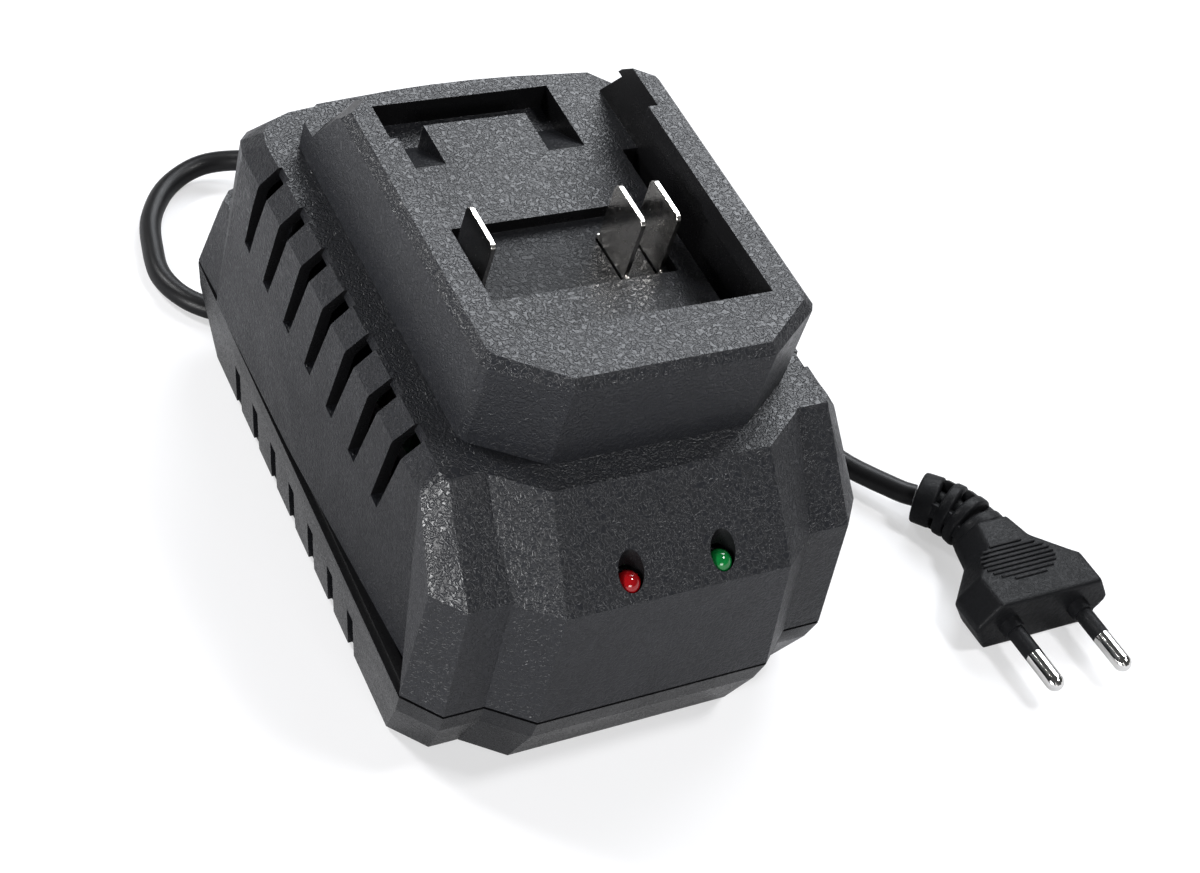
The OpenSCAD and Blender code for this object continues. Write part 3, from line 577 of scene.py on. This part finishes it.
# %% Small shapes
def joined(name, parts, material, slot, *replaced):
    """One piece from several small bmesh shapes, which are in millimetres."""
    bm = bmesh.new()
    for build in parts:
        build(bm)
    bmesh.ops.scale(bm, vec=(MM, MM, MM), verts=bm.verts)
    mesh = bpy.data.meshes.new(name)
    bm.to_mesh(mesh)
    bm.free()
    smooth_faces(mesh, crisp=35)
    print(name, "has", len(parts), "shapes")
    return show(name, mesh, material, slot, *replaced)


def edges_at(verts):
    """The edges at some vertices, each one once and in the same order on every run."""
    return list(dict.fromkeys(edge for vert in verts for edge in vert.link_edges))


def round_edges(bm, edges, radius, segments):
    bmesh.ops.bevel(
        bm, geom=edges, offset=radius, segments=segments,
        profile=0.5, affect="EDGES", material=-1)


def block(centre, size, radius, turn=None):
    def build(bm):
        rotation = turn.to_4x4() if turn else Matrix.Identity(4)
        place = Matrix.Translation(centre) @ rotation
        stretched = place @ Matrix.Diagonal((*size, 1))
        new = bmesh.ops.create_cube(bm, size=1, matrix=stretched)["verts"]
        round_edges(bm, edges_at(new), radius, 2)
    return build


def collar(centre, way, r1, r2, length, radius, squash):
    """A short cylinder square to a direction, flattened to squash times its height."""
    def build(bm):
        turn = way.to_track_quat("Z", "Y").to_matrix().to_4x4()
        place = Matrix.Translation(centre) @ turn @ Matrix.Diagonal((1, squash, 1, 1))
        new = bmesh.ops.create_cone(
            bm, cap_ends=True, segments=48, radius1=r1, radius2=r2, depth=length,
            matrix=place)["verts"]
        rims = [e for e in edges_at(new) if any(len(f.verts) > 4 for f in e.link_faces)]
        round_edges(bm, rims, radius, 3)
    return build


def along(line, s):
    """The point at distance s on a line of points, and the direction there."""
    for a, b in zip(line, line[1:]):
        step = (b - a).length
        if s <= step or b is line[-1]:
            return a + (b - a) * (s / step), (b - a).normalized()
        s -= step


# %% [markdown]
# ## Strain relief
# Where the cord enters the plug, a soft sleeve lets it bend without breaking. It is a core
# with four collars, and short webs tie each collar to the next and leave slots between
# them. One cylinder with slots cut by a boolean would give this too, but it makes a mesh
# that doesn't bevel well. Each shape is set square to the cord's line, so the sleeve
# follows the bend.

# %% Strain relief
COLLARS = ((-0.6, 2.8, 6.8), (4.4, 7.2, 6.9), (8.8, 11.6, 6.8), (13.2, 18.0, 6.4))
FIRST_WEBS, OTHER_WEBS = (80, -80, 180), (35, -70, 125, -160)
GAPS = ((2.2, 5.0, 6.7, FIRST_WEBS), (6.6, 9.4, 6.7, OTHER_WEBS), (11.0, 13.8, 6.5, OTHER_WEBS))
COLLAR_TAPER, COLLAR_EDGE = 0.15, 0.7
CORE_R, CORE_EDGE, CORE_LAP = 3.9, 0.1, 1
WEB_DEEP, WEB_WIDE, WEB_EDGE, WEB_SINK = 2.4, 3.4, 0.4, 1.5
SQUASH = 0.9

relief_parts = []
for start, end, r in COLLARS:
    middle, way = along(relief_line, max(0.1, (start + end) / 2))
    relief_parts.append(
        collar(middle, way, r, r - COLLAR_TAPER, end - start, COLLAR_EDGE, SQUASH))
for start, end, r, webs in GAPS:
    middle, way = along(relief_line, (start + end) / 2)
    relief_parts.append(
        collar(middle, way, CORE_R, CORE_R, end - start + CORE_LAP, CORE_EDGE, SQUASH))
    for angle in webs:
        turn = Matrix.Rotation(math.radians(90 + angle), 3, "Z")
        side = way.to_track_quat("Z", "Y").to_matrix() @ turn
        flat = 1 - (1 - SQUASH) * abs(math.cos(math.radians(angle)))
        web_at = middle + side @ Vector(((r - WEB_SINK) * flat, 0, 0))
        relief_parts.append(block(web_at, (WEB_DEEP, WEB_WIDE, end - start), WEB_EDGE, side))
joined("relief_moulding", relief_parts, plug_plastic, "plug_plastic", "plug_strain_relief")

# %% [markdown]
# ## Grip of the plug
# Thin ribs in an oval patch give the fingers a hold on the plug. The ribs are equally far
# apart, and each one is as long as the oval is wide there. The top slopes down behind, so
# the ribs do too.

# %% Grip of the plug
RIBS, RIB_WIDTH, RIB_HEIGHT, RIB_EDGE = 9, 0.62, 0.7, 0.2
PATCH_X, PATCH_Y, PATCH_HALF_X, PATCH_HALF_Y = -1.8, 11.2, 9.6, 5.6
PLUG_TOP, SLOPE_FROM, SLOPE = 6.85, 9, 0.056

ribs = []
for k in range(RIBS):
    v = (k - (RIBS - 1) / 2) / (RIBS / 2)
    behind = PATCH_Y + v * PATCH_HALF_Y
    half = PATCH_HALF_X * math.sqrt(1 - v * v)
    top = PLUG_TOP - max(0.0, behind - SLOPE_FROM) * SLOPE
    rib_size = (2 * half, RIB_WIDTH, RIB_HEIGHT)
    ribs.append(block(PLUG + Vector((PATCH_X, behind, top)), rib_size, RIB_EDGE))
joined("grip_ribs", ribs, plug_plastic, "plug_plastic")

# %% [markdown]
# ## Lights
# Each light is a dome low in an upright hole through the slanting panel. The domes of the
# solids sit a little too low, where the rims of the holes hide most of them. A longer dome
# could be made anew, but it is enough to move the top of each copy up, and its straight
# side grows with it.

# %% Lights
DOME_PART, DOME_RAISE = 6, 1.5

for name, finish, slot in (
    ("red_light", red_lens, "red_lens"), ("green_light", green_lens, "green_lens"),
):
    dome = merged_copy(name, 0.1)
    top = max(v.co.z for v in dome.vertices)
    for v in dome.vertices:
        if v.co.z > top - DOME_PART * MM:
            v.co.z += DOME_RAISE * MM
    show(name + "_lens", dome, finish, slot, name)
    smooth_faces(dome, crisp=40)
    print(name, "top at", round(top + DOME_RAISE * MM, 4))

# %% [markdown]
# ## Feet of the blades
# Where a blade comes out of the floor of the well, a small bright foot shows at its end.
# They are too small to be worth a solid of their own, so they are three little blocks,
# turned with the deck.

# %% Feet of the blades
FOOT_SIZE, FOOT_EDGE, FOOT_HEIGHT = (1.1, 0.9, 1.1), 0.2, 4.2
deck_turn = Matrix.Rotation(TILT, 3, "X")
feet = [
    block(on_deck(x, y, FOOT_HEIGHT) / MM, FOOT_SIZE, FOOT_EDGE, deck_turn)
    for x, y in ((12.4, -12.9), (20.3, -12.9), (12.4, -0.7))
]
joined("blade_feet", feet, nickel, "nickel")

# %% [markdown]
# ## Coil tie
# The spare cord is held by a flat strap, as a new one is. A curve with a flat bevel could
# make it, but the strap has straight runs and tight corners, so five thin blocks do: one
# over the strands, one under them, two at the sides, and the end that is tucked on top.

# %% Coil tie
TIE_ANGLE, TIE_RADIUS = 0.9, 25.1
TIE_HALF, TIE_WIDTH, TIE_EDGE = 7.3, 7, 0.25
TIE_TOP, TIE_MIDDLE, TIE_BOTTOM = 11.0, 5.7, 0.35
run, side = (2 * TIE_HALF, TIE_WIDTH, 0.7), (0.8, TIE_WIDTH, 11.3)
tie_way = Vector((math.cos(TIE_ANGLE), math.sin(TIE_ANGLE), 0))
tie_at = Vector((COIL_MIDDLE[0], COIL_MIDDLE[1], 0)) + tie_way * TIE_RADIUS
tie_turn = Matrix.Rotation(TIE_ANGLE, 3, "Z")
strap = [
    block(tie_at + tie_turn @ Vector(centre), size, TIE_EDGE, tie_turn) for centre, size in (
        ((0, 0, TIE_TOP), run), ((0, 0, TIE_BOTTOM), run),
        ((-TIE_HALF, 0, TIE_MIDDLE), side), ((TIE_HALF, 0, TIE_MIDDLE), side),
        ((4.4, 0, TIE_TOP + 0.5), (7, 6.4, 0.6)),
    )
]
joined("coil_tie", strap, shade_and_strap_plastic, "cord_sleeve")

# %% [markdown]
# ## Solids that show as they are
# The parts inside, the screws, the feet, the gland and the pins have the right shape
# already, and they are small or hidden. They keep their CAD mesh and only change their
# material, which goes into the mesh's own slot.

# %% Materials for the plain solids
PLAIN = {
    "light_board": board_green, "circuit_board": board_green,
    "transformer_core": ferrite, "transformer_winding": tape,
    "input_capacitor": sleeve, "output_capacitors": sleeve,
    "mains_choke": copper, "noise_capacitor": film_case,
    "heat_sink": sink_metal, "power_transistor": epoxy, "mains_fuse": fuse_case,
    "board_screws": screw_steel, "case_screws": screw_steel, "dock_screws": screw_steel,
    "rubber_feet": foot_rubber, "cord_gland": cord_jacket,
    "pin_sleeves": plug_plastic, "plug_pins": pin_metal,
}
for name, material in PLAIN.items():
    nodes[name].data.materials.clear()
    nodes[name].data.materials.append(material)
print("plain solids:", len(PLAIN))

# %% [markdown]

# %% [markdown]
# ## Floor
# The charger stands on a white table with nothing behind it. The floor is a plain plane
# that keeps the soft shadow. More lamps would turn it white but wash out the dark plastic,
# so instead it is a little brighter to the camera than the lamps make it, and runs into
# the white of the world behind it. Mirrors see it a little brighter too.


# %% Floor helpers
def plane(name, size, z):
    mesh = bpy.data.meshes.new(name)
    bm = bmesh.new()
    bmesh.ops.create_grid(
        bm, x_segments=1, y_segments=1, size=size, matrix=Matrix.Translation((0, 0, z)))
    bm.to_mesh(mesh)
    bm.free()
    piece = bpy.data.objects.new(name, mesh)
    bpy.context.collection.objects.link(piece)
    return piece


def either_ray(tree, rays, first, second):
    """1 where the ray is of one of the two kinds, else 0."""
    node = tree.nodes.new("ShaderNodeMath")
    node.operation = "MAXIMUM"
    link(tree, rays, first, node, 0)
    link(tree, rays, second, node, 1)
    return node


# %% Floor
FLOOR_HALF, FLOOR_Z = 1.2, -0.0002
FLOOR_LIFT, MIRRORED_LIFT = 0.50, 0.10

floor = plane("floor", FLOOR_HALF, FLOOR_Z)
floor_white, tree, shader = new_material("floor white")
shader.inputs["Base Color"].default_value = (0.41, 0.41, 0.42, 1)
shader.inputs["Roughness"].default_value = 0.8
shader.inputs["Specular IOR Level"].default_value = 0.0
shader.inputs["Emission Color"].default_value = (1, 1, 1, 1)
rays = tree.nodes.new("ShaderNodeLightPath")
seen = either_ray(tree, rays, "Is Camera Ray", "Is Transmission Ray")
mirrored = tree.nodes.new("ShaderNodeMath")
mirrored.operation = "MULTIPLY"
mirrored.inputs[1].default_value = MIRRORED_LIFT
link(tree, rays, "Is Glossy Ray", mirrored, 0)
lift = tree.nodes.new("ShaderNodeMath")
lift.operation = "MULTIPLY_ADD"
lift.inputs[1].default_value = FLOOR_LIFT
link(tree, seen, "Value", lift, 0)
link(tree, mirrored, "Value", lift, 2)
link(tree, lift, "Value", shader, "Emission Strength")
floor.data.materials.append(floor_white)
print("floor:", 2 * FLOOR_HALF, "m wide")

# %% [markdown]
# ## World
# The world is the studio round the table: white near the horizon, where it is the
# backdrop, and nearly dark overhead, so that the lamps alone draw the bright lines on the
# edges. A picture of a studio could stand in for it, but a ramp on the height of the view
# is enough.

# %% World
WORLD_LEVEL = 0.07
HORIZON_TO, DARK_FROM = 0.08, 0.2

world = bpy.data.worlds.new("studio")
bpy.context.scene.world = world
world.use_nodes = True
sky_tree = world.node_tree
sky = sky_tree.nodes["Background"]
sky.inputs["Color"].default_value = (1, 1, 1, 1)
sky_place = sky_tree.nodes.new("ShaderNodeTexCoord")
sky_split = sky_tree.nodes.new("ShaderNodeSeparateXYZ")
level = sky_tree.nodes.new("ShaderNodeMapRange")
level.inputs["From Min"].default_value = HORIZON_TO
level.inputs["From Max"].default_value = DARK_FROM
level.inputs["To Min"].default_value = 1.0
level.inputs["To Max"].default_value = WORLD_LEVEL
link(sky_tree, sky_place, "Generated", sky_split, "Vector")
link(sky_tree, sky_split, "Z", level, "Value")
link(sky_tree, level, "Result", sky, "Strength")
print("world:", WORLD_LEVEL, "overhead")

# %% [markdown]
# ## Lamps
# Dark plastic shows the lamps' reflections more than its own colour, so each lamp is put
# where a face mirrors it to the camera. A large softbox behind lights the deck and the
# dock, two small ones draw the edges, one from the left lights the cheeks, and a weak one
# from the front opens the front faces.


# %% Lamps
def softbox(name, place, target, size, power):
    lamp = bpy.data.lights.new(name, "AREA")
    lamp.shape, lamp.size, lamp.size_y = "RECTANGLE", size[0], size[1]
    lamp.energy = power
    piece = bpy.data.objects.new(name, lamp)
    piece.location = place
    aim = Vector(target) - Vector(place)
    piece.rotation_euler = aim.to_track_quat("-Z", "Y").to_euler()
    bpy.context.collection.objects.link(piece)
    return piece


back_light = softbox("back softbox", (0.78, 0.82, 1.1), (0, -0.02, 0.06), (1.1, 0.9), 29)
back_light.data.color = (0.93, 0.96, 1.0)
softbox("edge softbox left", (-0.62, 0.70, 0.95), (0, 0, 0.06), (0.25, 0.25), 12)
softbox("edge softbox right", (0.50, -0.32, 1.17), (0, -0.05, 0.05), (0.25, 0.25), 9)
softbox("cheek softbox", (-1.24, -0.50, 0.30), (0, -0.06, 0.04), (0.35, 0.3), 22)
softbox("front softbox", (-0.15, -1.08, 0.42), (0, -0.1, 0.0), (0.5, 0.3), 5)
bpy.context.scene.view_settings.view_transform = "Standard"
